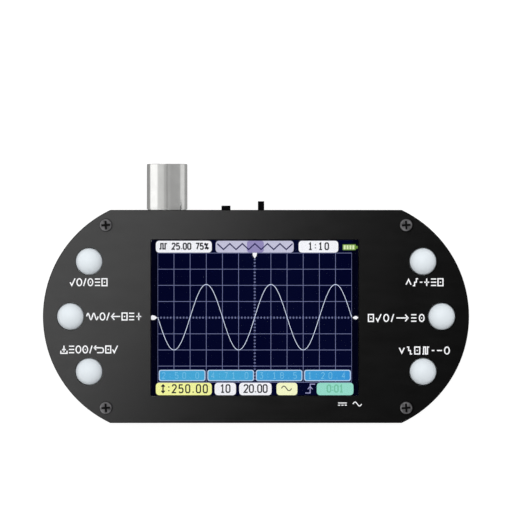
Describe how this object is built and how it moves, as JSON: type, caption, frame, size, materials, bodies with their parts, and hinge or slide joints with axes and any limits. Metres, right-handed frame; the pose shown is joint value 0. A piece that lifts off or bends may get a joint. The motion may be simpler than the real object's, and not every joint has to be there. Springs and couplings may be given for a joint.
{
  "type": "handheld oscilloscope",
  "caption": "Pocket oscilloscope: a flat round-ended case with a display, domed keys down each side, and a probe socket, push button and slide switch on its top edge.",
  "frame": {"origin": "middle of the back face, which the part lies on", "axes": "+X along the long side to the right, +Y to the edge with the probe socket, +Z out of the display"},
  "size_m": [0.1008, 0.0615, 0.0224],
  "materials": {
    "panel_black": "fine matt black",
    "shell_black": "moulded black, fine spark texture",
    "key_white": "satin white",
    "lens": "clear",
    "screen": "lit display",
    "display_frame": "white frame",
    "screw_metal": "blackened",
    "insert_brass": "knurled",
    "barrel_nickel": "satin nickel plate",
    "insulator_white": "waxy white",
    "contact_gold": "gold plate",
    "tin": "tinned",
    "part_black": "moulded black",
    "board_green": "solder mask",
    "foam_black": "closed-cell foam",
    "flex_amber": "polyimide film",
    "pouch_silver": "laminated pouch",
    "ceramic_tan": "fired ceramic",
    "film_red": "dipped"
  },
  "bodies": {
    "case": {"front_panel": "panel_black", "window_lens": "lens", "rear_shell": "shell_black", "case_screws": "screw_metal", "threaded_inserts": "insert_brass", "lcd_gasket": "foam_black", "lcd_glass": "screen", "lcd_backlight": "display_frame", "lcd_tape": "foam_black", "lcd_flex": "flex_amber", "lcd_connector": "insulator_white", "key_switch_bases": "part_black", "key_switch_covers": "tin", "socket_block": "part_black", "socket_barrel": "barrel_nickel", "socket_insulator": "insulator_white", "socket_contact": "contact_gold", "socket_pins": "tin", "edge_switch_body": "part_black", "slide_switch_base": "part_black", "slide_switch_cover": "tin", "usb_shell": "tin", "usb_insulator": "part_black", "usb_contacts": "contact_gold", "battery_cell": "pouch_silver", "battery_foam": "foam_black", "battery_guard_board": "board_green", "battery_tabs": "tin", "main_board": "board_green", "processor_chip": "part_black", "amplifier_chips": "part_black", "charger_chip": "part_black", "clock_crystal": "tin", "power_inductor": "part_black", "coupling_capacitor": "film_red", "filter_capacitors": "ceramic_tan", "small_passives": "ceramic_tan"},
    "ok_key": {"ok_key": "key_white", "ok_key_plunger": "part_black"},
    "left_key": {"left_key": "key_white", "left_key_plunger": "part_black"},
    "back_key": {"back_key": "key_white", "back_key_plunger": "part_black"},
    "up_key": {"up_key": "key_white", "up_key_plunger": "part_black"},
    "right_key": {"right_key": "key_white", "right_key_plunger": "part_black"},
    "down_key": {"down_key": "key_white", "down_key_plunger": "part_black"},
    "edge_button": {"edge_button": "part_black"},
    "slide_lever": {"slide_lever": "part_black"}
  },
  "joints": [
    {"name": "ok_key_press", "type": "slide", "parent": "case", "child": "ok_key", "axis": [0, 0, -1], "range_m": [0, 0.00025], "stiffness_N_per_m": 3000, "springref_m": -0.0002},
    {"name": "left_key_press", "type": "slide", "parent": "case", "child": "left_key", "axis": [0, 0, -1], "range_m": [0, 0.00025], "stiffness_N_per_m": 3000, "springref_m": -0.0002},
    {"name": "back_key_press", "type": "slide", "parent": "case", "child": "back_key", "axis": [0, 0, -1], "range_m": [0, 0.00025], "stiffness_N_per_m": 3000, "springref_m": -0.0002},
    {"name": "up_key_press", "type": "slide", "parent": "case", "child": "up_key", "axis": [0, 0, -1], "range_m": [0, 0.00025], "stiffness_N_per_m": 3000, "springref_m": -0.0002},
    {"name": "right_key_press", "type": "slide", "parent": "case", "child": "right_key", "axis": [0, 0, -1], "range_m": [0, 0.00025], "stiffness_N_per_m": 3000, "springref_m": -0.0002},
    {"name": "down_key_press", "type": "slide", "parent": "case", "child": "down_key", "axis": [0, 0, -1], "range_m": [0, 0.00025], "stiffness_N_per_m": 3000, "springref_m": -0.0002},
    {"name": "edge_button_press", "type": "slide", "parent": "case", "child": "edge_button", "axis": [0, -1, 0], "range_m": [0, 0.00025], "stiffness_N_per_m": 3000, "springref_m": -0.0002},
    {"name": "slide_lever_slide", "type": "slide", "parent": "case", "child": "slide_lever", "axis": [1, 0, 0], "range_m": [0, 0.002]}
  ]
}
